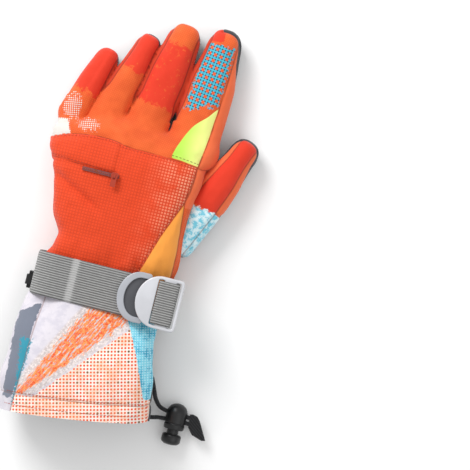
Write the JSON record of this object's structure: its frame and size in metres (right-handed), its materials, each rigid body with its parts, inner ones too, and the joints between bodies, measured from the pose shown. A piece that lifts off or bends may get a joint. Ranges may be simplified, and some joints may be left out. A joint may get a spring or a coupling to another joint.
{
  "type": "ski glove",
  "caption": "Insulated left ski glove with printed gauntlet cuff, wrist strap and buckles, back pocket and hem drawcord.",
  "frame": {"origin": "on the flat of the palm patch, below the middle of the hand, glove lying palm down", "axes": "+X towards the thumb, +Y towards the fingertips, +Z out of the back of the hand"},
  "size_m": [0.1564, 0.2914, 0.062],
  "materials": {
    "shell_back": "woven polyester ripstop, orange-red",
    "palm_leather": "charcoal synthetic leather",
    "liner": "brushed fleece",
    "wadding": "polyester wadding",
    "membrane": "thin waterproof film",
    "cuff_print": "printed woven polyester",
    "webbing": "ribbed grey webbing",
    "grey_plastic": "moulded acetal, light grey",
    "black_plastic": "moulded acetal, black",
    "cord": "braided elastic cord",
    "zip_metal": "dark lacquered die casting"
  },
  "bodies": {
    "hand": {"back_shell": "shell_back", "palm_shell": "palm_leather", "membrane_insert": "membrane", "hand_insulation": "wadding", "hand_fleece_lining": "liner", "palm_patch": "palm_leather", "pocket_panel": "shell_back", "pocket_flap": "shell_back", "zip_tape": "shell_back", "zip_teeth": "zip_metal", "wrist_strap": "webbing", "strap_anchor": "webbing", "clip_loop": "cord"},
    "cuff": {"cuff_back_panel": "cuff_print", "cuff_palm_panel": "cuff_print", "cuff_lining": "liner", "cuff_hem": "cuff_print", "drawcord_upper": "cord", "drawcord_lower": "cord", "cord_tab": "cord"},
    "zip_slider": {"zip_slider": "zip_metal"},
    "zip_pull": {"zip_pull": "zip_metal"},
    "strap_slider": {"strap_slider": "grey_plastic"},
    "front_buckle": {"front_buckle": "grey_plastic", "buckle_loop": "webbing"},
    "pair_clip": {"pair_clip": "black_plastic"},
    "cord_lock": {"lock_barrel": "black_plastic"},
    "lock_plunger": {"lock_plunger": "black_plastic"},
    "little_base": {"little_base_back": "shell_back", "little_base_palm": "palm_leather", "little_base_lining": "liner"},
    "little_tip": {"little_tip_back": "shell_back", "little_tip_palm": "palm_leather", "little_tip_lining": "liner"},
    "ring_base": {"ring_base_back": "shell_back", "ring_base_palm": "palm_leather", "ring_base_lining": "liner"},
    "ring_tip": {"ring_tip_back": "shell_back", "ring_tip_palm": "palm_leather", "ring_tip_lining": "liner"},
    "middle_base": {"middle_base_back": "shell_back", "middle_base_palm": "palm_leather", "middle_base_lining": "liner"},
    "middle_tip": {"middle_tip_back": "shell_back", "middle_tip_palm": "palm_leather", "middle_tip_lining": "liner"},
    "index_base": {"index_base_back": "shell_back", "index_base_palm": "palm_leather", "index_base_lining": "liner"},
    "index_tip": {"index_tip_back": "shell_back", "index_tip_palm": "palm_leather", "index_tip_lining": "liner"},
    "thumb_base": {"thumb_base_back": "shell_back", "thumb_base_palm": "palm_leather", "thumb_base_lining": "liner"},
    "thumb_tip": {"thumb_tip_back": "shell_back", "thumb_tip_palm": "palm_leather", "thumb_tip_lining": "liner"}
  },
  "joints": [
    {"name": "wrist_bend", "type": "hinge", "parent": "hand", "child": "cuff", "pos_m": [0, -0.079, 0.0207], "axis": [1, 0, 0], "range_deg": [-20, 25]},
    {"name": "little_knuckle", "type": "hinge", "parent": "hand", "child": "little_base", "pos_m": [-0.0493, 0.0585, 0.0114], "axis": [-0.9537, 0.3007, 0], "range_deg": [-10, 70]},
    {"name": "little_middle_joint", "type": "hinge", "parent": "little_base", "child": "little_tip", "pos_m": [-0.04268, 0.07948, 0.0114], "axis": [-0.9537, 0.3007, 0], "range_deg": [0, 70]},
    {"name": "ring_knuckle", "type": "hinge", "parent": "hand", "child": "ring_base", "pos_m": [-0.0263, 0.061, 0.0124], "axis": [-0.9636, 0.2672, 0], "range_deg": [-10, 70]},
    {"name": "ring_middle_joint", "type": "hinge", "parent": "ring_base", "child": "ring_tip", "pos_m": [-0.01842, 0.08943, 0.0124], "axis": [-0.9636, 0.2672, 0], "range_deg": [0, 70]},
    {"name": "middle_knuckle", "type": "hinge", "parent": "hand", "child": "middle_base", "pos_m": [0.001, 0.061, 0.0132], "axis": [-0.9854, 0.1702, 0], "range_deg": [-10, 70]},
    {"name": "middle_middle_joint", "type": "hinge", "parent": "middle_base", "child": "middle_tip", "pos_m": [0.00713, 0.09648, 0.0132], "axis": [-0.9854, 0.1702, 0], "range_deg": [0, 70]},
    {"name": "index_knuckle", "type": "hinge", "parent": "hand", "child": "index_base", "pos_m": [0.0353, 0.06, 0.0132], "axis": [-0.9981, 0.061, 0], "range_deg": [-10, 70]},
    {"name": "index_middle_joint", "type": "hinge", "parent": "index_base", "child": "index_tip", "pos_m": [0.03753, 0.09643, 0.0132], "axis": [-0.9981, 0.061, 0], "range_deg": [0, 70]},
    {"name": "thumb_spread", "type": "hinge", "parent": "hand", "child": "thumb_base", "pos_m": [0.04946, 0.00406, 0.0132], "axis": [0, 0, -1], "range_deg": [0, 35]},
    {"name": "thumb_bend", "type": "hinge", "parent": "thumb_base", "child": "thumb_tip", "pos_m": [0.06196, 0.03352, 0.0132], "axis": [-0.9205, 0.3907, 0], "range_deg": [0, 70]},
    {"name": "zip_slide", "type": "slide", "parent": "hand", "child": "zip_slider", "axis": [-1, 0, 0], "range_m": [0, 0.02]},
    {"name": "zip_pull_lift", "type": "hinge", "parent": "zip_slider", "child": "zip_pull", "pos_m": [-0.011, 0.0176, 0.0465], "axis": [-1, 0, 0], "range_deg": [0, 100]},
    {"name": "strap_slider_slide", "type": "slide", "parent": "hand", "child": "strap_slider", "axis": [-1, 0, 0], "range_m": [0, 0.02]},
    {"name": "buckle_lift", "type": "hinge", "parent": "hand", "child": "front_buckle", "pos_m": [0.054, -0.059, 0.047], "axis": [0, 1, 0], "range_deg": [0, 60]},
    {"name": "clip_swing", "type": "hinge", "parent": "hand", "child": "pair_clip", "pos_m": [-0.0523, -0.066, 0.01825], "axis": [0, 1, 0], "range_deg": [0, 80]},
    {"name": "cord_lock_slide", "type": "slide", "parent": "cuff", "child": "cord_lock", "axis": [-1, 0, 0], "range_m": [0, 0.002]},
    {"name": "lock_press", "type": "slide", "parent": "cord_lock", "child": "lock_plunger", "axis": [0, 1, 0], "range_m": [0, 0.003], "stiffness_N_per_m": 800, "springref_m": -0.001}
  ]
}
